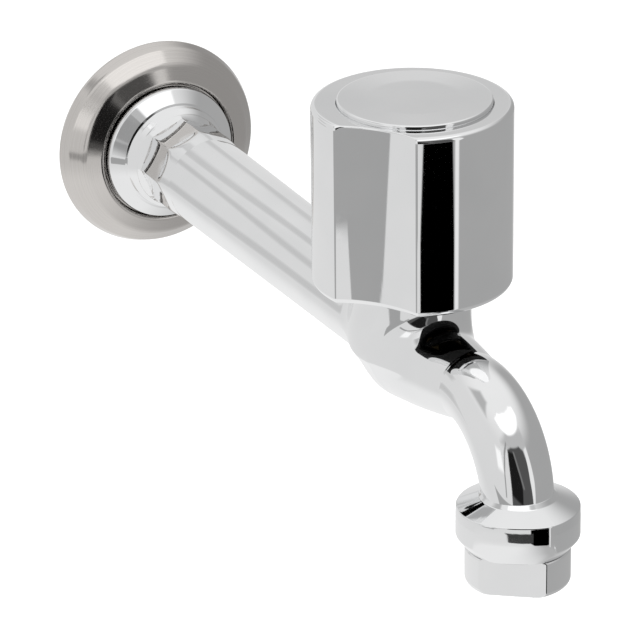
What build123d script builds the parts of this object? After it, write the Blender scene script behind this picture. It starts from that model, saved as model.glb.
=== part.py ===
from build123d import *
import math
import os

# A wall tap with a long arm, a multi-turn valve and a fixed spout, in millimetres.
# +Z is up. The wall is the plane Y = 0, the arm runs along -Y, and X = 0 is the symmetry plane.
# The origin is on the inlet axis, at the wall's face.

# Driving dimensions
handle_y = -137.5
spout_y = -187.0
clearance = 0.05
lift = 5.0

# Inlet shank, flange and arm
shank_r = 10.478
shank_length = 16.0
relief_r = 10.0
arm_bore_r = 5.8
flange_r = 16.7
flange_back_y = -7.3
octagon_start_y = -18.0
octagon_end_y = -27.0
octagon_flat = 10.45
arm_root_r = 11.2
arm_tip_r = 9.7

# Escutcheon
escutcheon_hole_r = 17.25
escutcheon_wall = 0.8
recess_y = -6.3
gasket_r = 15.5

# Valve chamber
chamber_r = 12.6
chamber_top = 13.0
chamber_bottom = -14.9
bowl_top = 0.0
blend_r = 5.0
bonnet_bore_r = 10.05
lower_chamber_r = 7.4
lower_chamber_floor = -10.5
seat_hole_r = 7.0
partition_low = -3.0
partition_top = 1.0
port_r = 3.6

# Spout and its end collar
spout_root_r = 8.4
spout_tube_r = 8.1
spout_bore_r = 5.6
spout_bend_r = 20.1
spout_top = -1.25
spout_slope = 11.5
collar_r = 13.7
collar_shoulder = -18.2
collar_top = -20.1
collar_skirt = -27.6
collar_bottom = -30.0
collar_flat = 10.6
collar_socket_top = -22.0
flats_turn = 54.0

# Aerator
aerator_thread_r = 9.0
gasket_low = -24.0
barrel_r = 11.7
barrel_flat = 9.0
barrel_bottom = -38.6
cage_r = 7.8
lip_r = 6.8
diffuser_low = -26.2
screen_height = 0.35

# Headwork
orifice_r = 4.6
seat_lip = 2.2
washer_r = 6.6
washer_top = 4.9
disc_r = 7.3
disc_top = 6.6
guide_r = 2.4
guide_top = 14.0
guide_clearance = 0.08
stub_r = 1.5
washer_nut_flat = 5.5
bonnet_flat = 24.0
bonnet_low = 5.6
bonnet_seat = 13.6
bonnet_hex_top = 18.5
bonnet_neck_r = 8.2
bonnet_top = 27.0
thread_r = 6.0
thread_top = 16.5
stem_r = 4.4
packing_r = 6.25
packing_low = 21.8
packing_height = 1.65
gland_flat = 19.5

# Handle
handle_r = 22.5
handle_top = 56.5
handle_bottom = 14.2
handle_cavity_r = 16.0
cavity_top = 51.5
scoop_depth = 4.2
scoop_angle = 52.0
scoop_turn = -141.7
scoop_edge_round = 1.0
handle_top_round = 0.6
handle_bottom_round = 1.5
hub_r = 11.0
hub_bottom = 31.0
web_low = 45.0
well_floor = 47.5
well_r = 9.2
cap_r = 17.35
cap_seat = 54.2
cap_top = 58.4
cap_round = 0.6
insert_r = 7.0
screw_r = 2.0
screw_head_r = 4.2
screw_head_height = 2.8
screw_washer_height = 0.8
spline_r = 4.3
spline_teeth = 16


def rod(radius, low, high, y=handle_y):
    """A round bar between two heights on a vertical axis."""
    bar = Cylinder(radius, high - low, align=(Align.CENTER, Align.CENTER, Align.MIN))
    return Pos(0, y, low) * bar


def ring(outer, inner, low, high, y=handle_y):
    """A round washer between two heights on a vertical axis."""
    return rod(outer, low, high, y) - rod(inner, low - 1, high + 1, y)


def hexagon(across_flats, low, high, y=handle_y):
    """A hexagonal bar with its corners turned down at both ends."""
    corner_r = across_flats / math.sqrt(3)
    prism = extrude(Pos(0, y, low) * RegularPolygon(corner_r, 6), high - low)
    return prism & chamfer(rod(corner_r, low, high, y).edges(), (corner_r - across_flats / 2) * 0.6)


def turned_about_y(points):
    """A solid turned about the arm's axis from (radius, y) points."""
    outline = make_face(Polyline(*[(r, y, 0) for r, y in points], close=True))
    return revolve(outline, Axis.Y)


def turned_about_z(points, y=handle_y):
    """A solid turned about a vertical axis from (radius, z) points."""
    outline = make_face(Polyline(*[(r, 0, z) for r, z in points], close=True))
    return Pos(0, y, 0) * revolve(outline, Axis.Z)


def slanted_bar(start, end, radius):
    """A round bar in the symmetry plane between two (y, z) points."""
    run = Vector(0, end[0] - start[0], end[1] - start[1])
    return extrude(Plane(origin=(0, start[0], start[1]), z_dir=run) * Circle(radius), run.length)


def spline_outline(root_r, y, z):
    """A star outline with small triangular teeth."""
    points = []
    for step in range(2 * spline_teeth):
        reach = root_r + (0.35 if step % 2 else 0.0)
        turn = math.pi * step / spline_teeth
        points.append((reach * math.cos(turn), y + reach * math.sin(turn), z))
    return make_face(Polyline(*points, close=True))


def hole_grid(pitch, reach):
    """Centres of a hexagonal grid of holes within a radius."""
    spots = []
    rows = int(reach / pitch) + 1
    for row in range(-rows, rows + 1):
        for column in range(-rows - 1, rows + 2):
            x = pitch * (column + 0.5 * (row % 2))
            y = pitch * row * math.sqrt(3) / 2
            if math.hypot(x, y) <= reach:
                spots.append((x, y))
    return spots


# The casting: shank, flange, arm, chamber, spout and collar in one piece

def arm_root():
    """The shank, flange, ridge and cove, turned about the inlet's axis."""
    return turned_about_y([
        (0, shank_length), (shank_r - 1.0, shank_length), (shank_r, shank_length - 1.0),
        (shank_r, -1.0), (relief_r, -1.5), (relief_r, flange_back_y),
        (flange_r - 0.5, flange_back_y), (flange_r, flange_back_y - 0.5),
        (flange_r, -9.4), (16.4, -10.0), (15.8, -10.7), (14.8, -11.7), (13.6, -12.6),
        (13.2, -12.8), (13.2, -13.5), (12.8, -14.2), (12.1, -14.8), (11.7, -15.6),
        (arm_root_r + 0.05, octagon_start_y), (0, octagon_start_y)])


def octagon_stretch():
    """The octagonal wrench stretch, its corners rounded by the arm's own taper."""
    length = octagon_start_y - octagon_end_y
    corner_r = octagon_flat / math.cos(math.radians(22.5))
    facets = Pos(0, octagon_start_y, 0) * (Rot(90, 0, 0) * extrude(RegularPolygon(corner_r, 8), length))
    band = Pos(0, octagon_start_y, 0) * (Rot(90, 0, 0) * Cylinder(
        arm_root_r, length, align=(Align.CENTER, Align.CENTER, Align.MIN)))
    return facets & band


def valve_casting():
    """The tapering arm, the round chamber with its bowl, and the spout's straight root, blended."""
    length = octagon_end_y - handle_y
    arm = Pos(0, octagon_end_y, 0) * (Rot(90, 0, 0) * Cone(
        arm_root_r - 0.4, arm_tip_r, length, align=(Align.CENTER, Align.CENTER, Align.MIN)))
    joined = arm + chamber()
    joined = fillet(meeting_edges(joined, 1), blend_r)
    straight, bend = spout_path()
    start = Plane(origin=straight @ 0, z_dir=straight % 0)
    finish = Plane(origin=straight @ 1, z_dir=straight % 1)
    joined = joined + loft([start * Circle(spout_root_r), finish * Circle(spout_tube_r)])
    return fillet(meeting_edges(joined, -1), blend_r)


def chamber():
    """The round valve chamber, drawn in below to a small rounded bottom."""
    depth = bowl_top - chamber_bottom
    bowl = Spline(
        (chamber_r, bowl_top, 0), (chamber_r * 0.87, bowl_top - depth * 0.42, 0),
        (chamber_r * 0.62, bowl_top - depth * 0.73, 0), (0, chamber_bottom, 0),
        tangents=((0, -1, 0), (-1, 0, 0)))
    sides = Polyline((0, chamber_bottom, 0), (0, chamber_top, 0), (chamber_r, chamber_top, 0),
                     (chamber_r, bowl_top, 0))
    outline = make_face(sides + bowl)
    return Pos(0, handle_y, 0) * (Rot(90, 0, 0) * revolve(outline, Axis.Y))


def meeting_edges(solid, side):
    """Edges on the wall side (1) or the spout side (-1) where a limb meets the chamber."""
    found = []
    for edge in solid.edges():
        middle = edge @ 0.5
        reach = math.hypot(middle.X, middle.Y - handle_y)
        beside = side * (middle.Y - handle_y) > 2
        if beside and 3.0 < reach < 20.0 and middle.Z < chamber_top - 1 and edge.length > 1:
            found.append(edge)
    return found


def spout_path():
    """A gentle straight rise from the valve, then one bend down to the outlet's axis."""
    centre_y = spout_y + spout_bend_r
    centre_z = spout_top - spout_bend_r
    turn = math.radians(spout_slope)
    bend_y = centre_y + spout_bend_r * math.sin(turn)
    bend_z = centre_z + spout_bend_r * math.cos(turn)
    root_z = bend_z - (handle_y - bend_y) * math.tan(turn)
    straight = Line((0, handle_y, root_z), (0, bend_y, bend_z))
    bend = TangentArc((0, bend_y, bend_z), (0, spout_y, centre_z), tangent=straight % 1)
    return straight, bend


def wrench_flats(bar, distance, low, high):
    """Two parallel flats milled on a round bar on the outlet's axis."""
    block = Box(60, 60, high - low, align=(Align.CENTER, Align.MIN, Align.MIN))
    for half_turn in (0, 180):
        place = Pos(0, spout_y, low) * Rot(0, 0, flats_turn - 90 + half_turn)
        bar = bar - place * (Pos(0, distance, 0) * block)
    return bar


def spout_bend():
    """The bend of the spout."""
    straight, bend = spout_path()
    return sweep(Plane(origin=bend @ 0, z_dir=bend % 0) * Circle(spout_tube_r), path=bend)


def spout_collar():
    """The collar at the spout's end, domed above and chamfered below, with two wrench flats."""
    collar = turned_about_z([
        (0, collar_shoulder - 4), (spout_tube_r - 0.2, collar_shoulder + 0.6),
        (spout_tube_r + 0.6, collar_shoulder - 0.1), (collar_r - 0.6, collar_top + 0.2),
        (collar_r, collar_top - 0.2), (collar_r, collar_skirt), (11.6, collar_bottom),
        (0, collar_bottom)], spout_y)
    return wrench_flats(collar, collar_flat, collar_bottom - 1, collar_shoulder + 2)


def waterways():
    """The cored passages, from the arm's bore up through the seat and on to the outlet."""
    bore_end = handle_y + 19.0
    arm_bore = turned_about_y([
        (0, shank_length + 1), (arm_bore_r, shank_length + 1), (arm_bore_r, bore_end),
        (arm_bore_r - 2.5, bore_end - 2.5), (0, bore_end - 2.5)])
    inlet_port = slanted_bar((handle_y + 20.5, -0.5), (handle_y + 5.5, -7.5), port_r)
    lower_chamber = chamfer(rod(lower_chamber_r, lower_chamber_floor, partition_low).edges(), 1.5)
    seat_hole = rod(seat_hole_r, partition_low - 1, partition_top + 1)
    upper_chamber = rod(bonnet_bore_r, partition_top, chamber_top + 1)
    outlet_port = slanted_bar((handle_y - 5.5, 4.6), (handle_y - 21.5, -3.6), port_r)
    straight, bend = spout_path()
    start = straight @ 0.62
    finish = straight @ 1
    bore_root = slanted_bar((start.Y, start.Z), (finish.Y, finish.Z), spout_bore_r)
    bore_bend = sweep(Plane(origin=bend @ 0, z_dir=bend % 0) * Circle(spout_bore_r), path=bend)
    bore_drop = rod(spout_bore_r, collar_socket_top - 1, spout_top - spout_bend_r, spout_y)
    socket = rod(aerator_thread_r + clearance, collar_bottom - 1, collar_socket_top, spout_y)
    passages = arm_bore + inlet_port + lower_chamber + seat_hole + upper_chamber + outlet_port
    return passages + bore_root + bore_bend + bore_drop + socket


def tap_body():
    """The one-piece casting."""
    outside = valve_casting() + octagon_stretch() + arm_root() + spout_bend() + spout_collar()
    return outside - waterways()


# The cover plate on the wall

def escutcheon():
    """A spun shell: rolled rim at the wall, convex dome, and a recess that the flange sits in."""
    wall = escutcheon_wall
    dome = [
        (24.7, 0), (25.4, 0), (25.85, -0.4), (26.0, -1.2), (25.8, -2.3), (25.0, -3.9), (23.6, -5.6),
        (21.8, -7.1), (19.8, -8.2), (18.2, -8.9), (17.6, -9.1), (escutcheon_hole_r, -8.8),
        (escutcheon_hole_r, recess_y - wall), (relief_r + 1.2, recess_y - wall)]
    inside = [
        (relief_r + 1.2, recess_y), (escutcheon_hole_r + wall, recess_y),
        (escutcheon_hole_r + wall, -8.0), (19.5, -7.4), (21.3, -6.4), (23.0, -5.0),
        (24.2, -3.5), (24.7, -2.1)]
    return turned_about_y(dome + inside)


def flange_gasket():
    """A thin fibre washer between the escutcheon's recess and the flange."""
    thickness = recess_y - escutcheon_wall - flange_back_y
    disc = Cylinder(gasket_r, thickness) - Cylinder(relief_r + 0.6, thickness * 3)
    return Pos(0, flange_back_y + thickness / 2, 0) * (Rot(90, 0, 0) * disc)


# The headwork inside the handle

def valve_seat():
    """A screwed-in seat with a raised lip."""
    body = turned_about_z([
        (orifice_r, partition_low), (seat_hole_r - clearance, partition_low),
        (seat_hole_r - clearance, partition_top), (8.0, partition_top), (8.0, partition_top + 0.6),
        (orifice_r + 1.1, partition_top + 0.6), (orifice_r + 0.7, seat_lip), (orifice_r + 0.1, seat_lip),
        (orifice_r, seat_lip - 0.2)])
    return body


def bonnet_gasket():
    """The sealing ring under the bonnet's hexagon."""
    return ring(chamber_r - 0.3, bonnet_bore_r, chamber_top, bonnet_seat)


def bonnet():
    """The headwork's housing: screwed skirt, hexagon, and a neck with the packing box."""
    skirt = rod(bonnet_bore_r - clearance, bonnet_low, bonnet_seat)
    neck = rod(bonnet_neck_r, bonnet_hex_top, bonnet_top)
    solid = skirt + hexagon(bonnet_flat, bonnet_seat, bonnet_hex_top) + chamfer(neck.edges(), 0.4)
    solid = solid - rod(disc_r + 0.4, bonnet_low - 1, disc_top + lift + 0.6)
    solid = solid - rod(thread_r + clearance, bonnet_low, packing_low)
    return solid - rod(packing_r + clearance, packing_low, bonnet_top + 1)


def stem_packing():
    """Two square packing rings round the stem."""
    rings = []
    for layer in range(2):
        low = packing_low + layer * (packing_height + 0.05)
        rings.append(ring(packing_r, stem_r + clearance, low, low + packing_height))
    return Compound(children=rings)


def gland_ring():
    """The follower that the gland nut presses on the packing."""
    return ring(packing_r, stem_r + clearance, packing_low + 3.4, bonnet_top + 0.6)


def gland_nut():
    """The hexagonal cap nut over the bonnet's neck."""
    nut = hexagon(gland_flat, bonnet_hex_top + 1.6, bonnet_top + 2.4)
    nut = nut - rod(bonnet_neck_r + clearance, bonnet_hex_top, bonnet_top + 0.6)
    return nut - rod(stem_r + 0.09, bonnet_top, bonnet_top + 4)


def jumper():
    """The washer holder: a disc, a stem guided by the spindle and a stub for the washer."""
    disc = chamfer(rod(disc_r, washer_top, disc_top).edges(), 0.25)
    return disc + rod(guide_r, disc_top - 0.5, guide_top) + rod(stub_r, 0.2, washer_top + 0.3)


def seat_washer():
    """The rubber disc that closes on the seat."""
    solid = fillet(rod(washer_r, seat_lip + clearance, washer_top).edges(), 0.4)
    return solid - rod(stub_r, 0, washer_top + 1)


def washer_nut():
    """The small nut that holds the washer on its stub."""
    return hexagon(washer_nut_flat, 0.5, seat_lip + clearance) - rod(stub_r, 0, washer_top)


def spindle():
    """The rising spindle: screw, stem, and a splined end with a screw hole."""
    screw = chamfer(rod(thread_r, disc_top + 0.2, thread_top).edges(), 0.5)
    stem = rod(stem_r, thread_top - 0.5, hub_bottom + 0.5)
    splines = extrude(spline_outline(spline_r - 0.35, handle_y, hub_bottom), web_low - hub_bottom - 0.5)
    solid = screw + stem + splines
    solid = solid - rod(guide_r + guide_clearance, disc_top - 1, guide_top + 1.2)
    return solid - rod(screw_r + clearance, hub_bottom + 3, web_low + 1)


# The handle

def scoop():
    """A shallow full-height flute for the thumb."""
    half = math.radians(scoop_angle / 2)
    chord_half = handle_r * math.sin(half)
    sagitta = scoop_depth - handle_r * (1 - math.cos(half))
    radius = (chord_half ** 2 + sagitta ** 2) / (2 * sagitta)
    reach = handle_r - scoop_depth + radius
    x = reach * math.cos(math.radians(scoop_turn))
    y = reach * math.sin(math.radians(scoop_turn))
    return Pos(x, y, 0) * rod(radius, handle_bottom - 5, handle_top + 5)


def handle_shell():
    """The chromed handle: one flute outside, open underneath, with a central hub."""
    solid = rod(handle_r, handle_bottom, handle_top) - scoop()
    solid = fillet(solid.edges().filter_by(Axis.Z), scoop_edge_round)
    solid = fillet(solid.edges().group_by(Axis.Z)[-1], handle_top_round)
    solid = fillet(solid.edges().group_by(Axis.Z)[0], handle_bottom_round)
    solid = solid - rod(handle_cavity_r, handle_bottom - 1, cavity_top)
    solid = solid + rod(hub_r, hub_bottom, cavity_top + 1)
    solid = solid - rod(cap_r + 0.15, cap_seat, handle_top + 1)
    solid = solid - rod(well_r, well_floor, handle_top)
    solid = solid - rod(insert_r + clearance, hub_bottom - 1, web_low)
    return solid - rod(screw_r + 0.2, web_low - 1, well_floor + 1)


def spline_insert():
    """The moulded bush that keys the handle to the spindle."""
    body = rod(insert_r, hub_bottom + 0.5, web_low)
    hole = extrude(spline_outline(spline_r - 0.28, handle_y, hub_bottom - 1), 20)
    return body - hole


def handle_screw():
    """The pan-head screw that holds the handle down, with a cross recess."""
    seat = well_floor + screw_washer_height
    top = seat + screw_head_height
    head = fillet(rod(screw_head_r, seat, top).edges().group_by(Axis.Z)[-1], 1.0)
    solid = head + rod(screw_r, hub_bottom + 4, seat + 0.2)
    slot = Box(5.0, 1.0, 3.0)
    for turn in (0, 90):
        solid = solid - Pos(0, handle_y, top) * Rot(0, 0, turn) * slot
    return solid


def screw_washer():
    """The plain washer under the screw's head."""
    return ring(screw_head_r + 0.8, screw_r + 0.1, well_floor, well_floor + screw_washer_height)


def handle_cap():
    """The raised round button on top, domed slightly, with a hollow spigot in the well."""
    button = rod(cap_r, cap_seat, cap_top)
    button = fillet(button.edges().group_by(Axis.Z)[-1], cap_round)
    spigot = ring(well_r - 0.25, well_r - 1.9, cap_seat - 2.6, cap_seat + 0.5)
    groove = ring(well_r + 1, well_r - 1.05, cap_seat - 2.0, cap_seat - 0.9)
    return button + (spigot - groove)


def cap_ring():
    """The rubber ring that grips the cap in the well."""
    return ring(well_r - 0.02, well_r - 1.0, cap_seat - 1.95, cap_seat - 0.95)


# The aerator

def aerator_housing():
    """The lower barrel, with wrench flats and a screwed top that goes up into the collar."""
    barrel = rod(barrel_r, barrel_bottom, collar_bottom - 0.15, spout_y)
    barrel = fillet(barrel.edges().group_by(Axis.Z)[0], 1.2)
    barrel = chamfer(barrel.edges().group_by(Axis.Z)[-1], 0.25)
    barrel = wrench_flats(barrel, barrel_flat, barrel_bottom + 1.2, collar_bottom)
    screwed_top = rod(aerator_thread_r, collar_bottom - 1, gasket_low, spout_y)
    solid = barrel + chamfer(screwed_top.edges().group_by(Axis.Z)[-1], 0.4)
    solid = solid - rod(cage_r + clearance, barrel_bottom + 2.0, -23.0, spout_y)
    return solid - rod(lip_r, barrel_bottom - 1, barrel_bottom + 3, spout_y)


def aerator_gasket():
    """The flat rubber ring above the aerator."""
    return ring(aerator_thread_r, spout_bore_r + 0.2, gasket_low, collar_socket_top, spout_y)


def aerator_cage():
    """The plastic cup with air slots in its side."""
    cage = ring(cage_r, cage_r - 0.9, barrel_bottom + 2.0, diffuser_low, spout_y)
    for turn in range(0, 360, 45):
        slot = Rot(0, 0, turn) * (Pos(cage_r, 0, 0) * Box(3, 1.6, 2.4))
        cage = cage - Pos(0, spout_y, -31.5) * slot
    return cage


def flow_diffuser():
    """The plate with small jet holes on top of the cage."""
    plate = rod(cage_r, diffuser_low, gasket_low, spout_y)
    for x, y in hole_grid(2.2, 5.4):
        plate = plate - Pos(x, y, 0) * rod(0.5, -27, -23, spout_y)
    return plate - rod(6.4, -24.8, -23, spout_y)


def mesh_screens():
    """Two thin perforated screens, one above the other."""
    screens = []
    for low in (-29.2, -30.6):
        screen = rod(cage_r - 0.95, low, low + screen_height, spout_y)
        holes = [Pos(x, y, 0) * rod(0.55, low - 1, low + 1, spout_y) for x, y in hole_grid(1.6, 5.9)]
        screens.append(screen - holes)
    return Compound(children=screens)


def flow_straightener():
    """The honeycomb at the mouth that gathers the stream."""
    low = barrel_bottom + 2.05
    core = rod(cage_r - 0.95, low, low + 3.0, spout_y)
    cells = []
    for x, y in hole_grid(2.1, 5.3):
        cells.append(extrude(Pos(x, spout_y + y, low - 1) * RegularPolygon(1.0, 6), 6))
    return core - cells


sub_parts = {
    "tap_body": tap_body,
    "wall_escutcheon": escutcheon,
    "flange_gasket": flange_gasket,
    "valve_seat": valve_seat,
    "bonnet_gasket": bonnet_gasket,
    "bonnet": bonnet,
    "stem_packing": stem_packing,
    "gland_ring": gland_ring,
    "gland_nut": gland_nut,
    "washer_jumper": jumper,
    "seat_washer": seat_washer,
    "washer_nut": washer_nut,
    "spindle": spindle,
    "handle_shell": handle_shell,
    "handle_spline_insert": spline_insert,
    "handle_screw": handle_screw,
    "handle_screw_washer": screw_washer,
    "handle_cap": handle_cap,
    "cap_retaining_ring": cap_ring,
    "aerator_housing": aerator_housing,
    "aerator_gasket": aerator_gasket,
    "aerator_cage": aerator_cage,
    "flow_diffuser": flow_diffuser,
    "mesh_screens": mesh_screens,
    "flow_straightener": flow_straightener,
}

os.makedirs("parts", exist_ok=True)
for node, maker in sub_parts.items():
    export_step(maker(), f"parts/{node}.step")
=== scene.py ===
import bpy
import math
import numpy as np
from mathutils import Matrix, Vector


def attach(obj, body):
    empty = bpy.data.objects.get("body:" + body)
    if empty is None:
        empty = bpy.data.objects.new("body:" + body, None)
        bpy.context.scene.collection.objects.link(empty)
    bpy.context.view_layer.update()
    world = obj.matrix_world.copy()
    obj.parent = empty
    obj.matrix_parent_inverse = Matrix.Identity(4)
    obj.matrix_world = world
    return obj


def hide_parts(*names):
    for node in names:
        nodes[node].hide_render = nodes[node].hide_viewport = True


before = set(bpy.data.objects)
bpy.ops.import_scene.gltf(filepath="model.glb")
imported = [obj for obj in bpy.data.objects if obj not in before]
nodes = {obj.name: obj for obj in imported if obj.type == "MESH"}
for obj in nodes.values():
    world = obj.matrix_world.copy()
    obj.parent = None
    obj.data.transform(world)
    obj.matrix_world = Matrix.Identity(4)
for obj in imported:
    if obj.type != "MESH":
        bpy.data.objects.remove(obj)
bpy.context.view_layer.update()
mm = 0.001
print("frame loaded")


# A smooth minimum, for edges that are rounded over a width.

def softMin(a, b, width):
    h = np.clip(width - np.abs(a - b), 0, None) / width
    return np.minimum(a, b) - h * h * width / 4


def fade(value, start, end):
    t = np.clip((value - start) / (end - start), 0, 1)
    return t * t * (3 - 2 * t)


# A profile from corners (a, b, fillet radius): round corners get an arc, and every straight
# stretch gets a guard point near both ends, so that its shading stays flat.

def roundedProfile(corners, closed=False, arcSteps=8, guard=0.12):
    points = [np.array(c[:2], float) for c in corners]
    radii = [c[2] if len(c) > 2 else 0.0 for c in corners]
    count = len(points)
    result = []
    for i in range(count):
        here = points[i]
        if not closed and i in (0, count - 1):
            result.append(here)
            continue
        before = points[i - 1]
        after = points[(i + 1) % count]
        u = (before - here) / np.linalg.norm(before - here)
        v = (after - here) / np.linalg.norm(after - here)
        turn = math.acos(np.clip(np.dot(u, v), -1, 1))
        if radii[i] <= 0 or turn > math.pi - 0.01:
            for end in (here + u * min(guard, np.linalg.norm(before - here) / 3), here,
                        here + v * min(guard, np.linalg.norm(after - here) / 3)):
                result.append(end)
            continue
        reach = radii[i] / math.tan(turn / 2)
        start = here + u * reach
        finish = here + v * reach
        centre = here + (u + v) / np.linalg.norm(u + v) * radii[i] / math.sin(turn / 2)
        first = start - centre
        sweep = math.pi - turn
        side = 1 if first[0] * (finish - centre)[1] - first[1] * (finish - centre)[0] > 0 else -1
        result.append(start + u * min(guard, np.linalg.norm(before - here) / 4))
        for k in range(arcSteps + 1):
            a = side * sweep * k / arcSteps
            result.append(centre + np.array([first[0] * math.cos(a) - first[1] * math.sin(a),
                                             first[0] * math.sin(a) + first[1] * math.cos(a)]))
        result.append(finish + v * min(guard, np.linalg.norm(after - here) / 4))
    return np.array(result)


# Long straight stretches of a profile are cut into shorter ones.

def divided(profile, longest, closed=False):
    result = []
    count = len(profile)
    for i in range(count if closed else count - 1):
        a = profile[i]
        b = profile[(i + 1) % count]
        steps = max(1, int(math.ceil(np.linalg.norm(b - a) / longest)))
        for k in range(steps):
            result.append(a + (b - a) * k / steps)
    if not closed:
        result.append(profile[-1])
    return np.array(result)


# Meshes

def makeObject(name, points, faces, material, normals=None):
    mesh = bpy.data.meshes.new(name)
    mesh.from_pydata((np.asarray(points) * mm).tolist(), [], [list(map(int, f)) for f in faces])
    mesh.update()
    mesh.polygons.foreach_set("use_smooth", [True] * len(mesh.polygons))
    mesh.materials.append(material)
    if normals is not None:
        mesh.normals_split_custom_set_from_vertices(normals.tolist())
    obj = bpy.data.objects.new(name, mesh)
    bpy.context.scene.collection.objects.link(obj)
    return obj


# Faces between rings of points, in order. loop joins the last ring to the first.

def ringFaces(ringCount, around, loop):
    faces = []
    for i in range(ringCount if loop else ringCount - 1):
        a = i * around
        b = ((i + 1) % ringCount) * around
        j = np.arange(around)
        k = (j + 1) % around
        faces.append(np.stack([a + j, a + k, b + k, b + j], 1))
    return np.concatenate(faces)


def anglesRound(count):
    return 2 * math.pi * np.arange(count) / count


def turnedRings(profile, around, axis, centre=(0, 0)):
    a = anglesRound(around)
    r = profile[:, 0][:, None]
    h = profile[:, 1][:, None] + 0 * a
    if axis == "y":
        return np.stack([r * np.cos(a), h, r * np.sin(a)], 2)
    return np.stack([centre[0] + r * np.cos(a), centre[1] + r * np.sin(a), h], 2)


def closedSkin(rings):
    points = rings.reshape(-1, 3)
    return points, facingOut(points, ringFaces(len(rings), rings.shape[1], True))


def facingOut(points, faces):
    tri = points[faces[:, :3]]
    volume = np.einsum("ij,ij->i", tri[:, 0], np.cross(tri[:, 1], tri[:, 2])).sum()
    if faces.shape[1] == 4:
        tri = points[faces[:, [0, 2, 3]]]
        volume += np.einsum("ij,ij->i", tri[:, 0], np.cross(tri[:, 1], tri[:, 2])).sum()
    return faces if volume > 0 else faces[:, ::-1]


# Materials. Every pattern reads Object coordinates.

def newMaterial(name, metallic=0.0):
    material = bpy.data.materials.new(name)
    material.use_nodes = True
    tree = material.node_tree
    shader = tree.nodes["Principled BSDF"]
    shader.inputs["Metallic"].default_value = metallic
    return material, tree, shader, addNode(tree, "ShaderNodeTexCoord")


# A node with its inputs and settings. An input is a value or another node's output.

def addNode(tree, kind, inputs=None, **settings):
    node = tree.nodes.new(kind)
    for name, value in settings.items():
        setattr(node, name, value)
    for name, value in (inputs or {}).items():
        if isinstance(value, bpy.types.NodeSocket):
            tree.links.new(value, node.inputs[name])
        else:
            node.inputs[name].default_value = value
    return node


def noiseInto(tree, place, scale, detail=2.0, stretch=(1, 1, 1)):
    mapping = addNode(tree, "ShaderNodeMapping", {"Vector": place.outputs["Object"], "Scale": stretch})
    return addNode(tree, "ShaderNodeTexNoise", {
        "Vector": mapping.outputs["Vector"], "Scale": scale, "Detail": detail}).outputs["Fac"]


noiseRange = (0.3, 0.7)                             # nearly all of a noise lies in here


def spread(tree, source, low, high):
    return addNode(tree, "ShaderNodeMapRange", {
        "Value": source, "From Min": noiseRange[0], "From Max": noiseRange[1],
        "To Min": low, "To Max": high}).outputs["Result"]


def tinted(tree, source, shader, darker, lighter):
    mix = addNode(tree, "ShaderNodeMix", {
        "Factor": spread(tree, source, 0, 1), "A": (*darker, 1), "B": (*lighter, 1)}, data_type="RGBA")
    tree.links.new(mix.outputs["Result"], shader.inputs["Base Color"])


def roughened(tree, source, shader, low, high):
    tree.links.new(spread(tree, source, low, high), shader.inputs["Roughness"])


def bumped(tree, source, shader, strength, distance):
    bump = addNode(tree, "ShaderNodeBump", {"Height": source, "Strength": strength, "Distance": distance})
    tree.links.new(bump.outputs["Normal"], shader.inputs["Normal"])


# Mirror chrome: a faint haze of polishing marks in the roughness, and a very slow waviness.

chromeLook = {
    "marks": (900.0, 4.0, (1, 0.15, 1)), "haze": (0.6, 1.4), "clouds": 60.0, "waves": (45.0, 1.0),
    "waveHeight": 0.0005, "darker": (0.83, 0.835, 0.84), "lighter": (0.87, 0.872, 0.875),
}


def chromeFinish(name, haze, waviness):
    look = chromeLook
    material, tree, shader, place = newMaterial(name, 1.0)
    marks = noiseInto(tree, place, *look["marks"])
    roughened(tree, marks, shader, haze * look["haze"][0], haze * look["haze"][1])
    tinted(tree, noiseInto(tree, place, look["clouds"]), shader, look["darker"], look["lighter"])
    bumped(tree, noiseInto(tree, place, *look["waves"]), shader, waviness, look["waveHeight"])
    return material


# Satin stainless: fine rings round the plate's axis, like a spun and buffed sheet.

stainlessLook = {
    "rings": 6000.0, "ringDetail": 3.0, "roughness": (0.09, 0.15), "ringStrength": 0.12,
    "ringHeight": 0.00004, "darker": (0.60, 0.575, 0.555), "lighter": (0.66, 0.635, 0.61),
}


def stainlessFinish():
    look = stainlessLook
    material, tree, shader, place = newMaterial("satinStainless", 1.0)
    across = addNode(tree, "ShaderNodeMapping", {"Vector": place.outputs["Object"], "Scale": (1, 0, 1)})
    radius = addNode(tree, "ShaderNodeVectorMath", {0: across.outputs["Vector"]}, operation="LENGTH")
    rings = addNode(tree, "ShaderNodeTexNoise", {
        "W": radius.outputs["Value"], "Scale": look["rings"], "Detail": look["ringDetail"]},
        noise_dimensions="1D").outputs["Fac"]
    roughened(tree, rings, shader, *look["roughness"])
    tinted(tree, rings, shader, look["darker"], look["lighter"])
    bumped(tree, rings, shader, look["ringStrength"], look["ringHeight"])
    return material


# Turned metal with lathe marks, and soft matt stuff with a grain: roughness is a share of its mean.

metalLook = {"marks": (1400.0, 3.0, (0.2, 0.2, 3.0)), "roughness": (0.8, 1.25), "bump": (0.15, 0.00005)}
softLook = {"grainDetail": 5.0, "roughness": (0.9, 1.1), "bump": (0.2, 0.0001)}


def metalFinish(name, darker, lighter, roughness):
    material, tree, shader, place = newMaterial(name, 1.0)
    marks = noiseInto(tree, place, *metalLook["marks"])
    tinted(tree, marks, shader, darker, lighter)
    roughened(tree, marks, shader, *[roughness * share for share in metalLook["roughness"]])
    bumped(tree, marks, shader, *metalLook["bump"])
    return material


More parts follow.
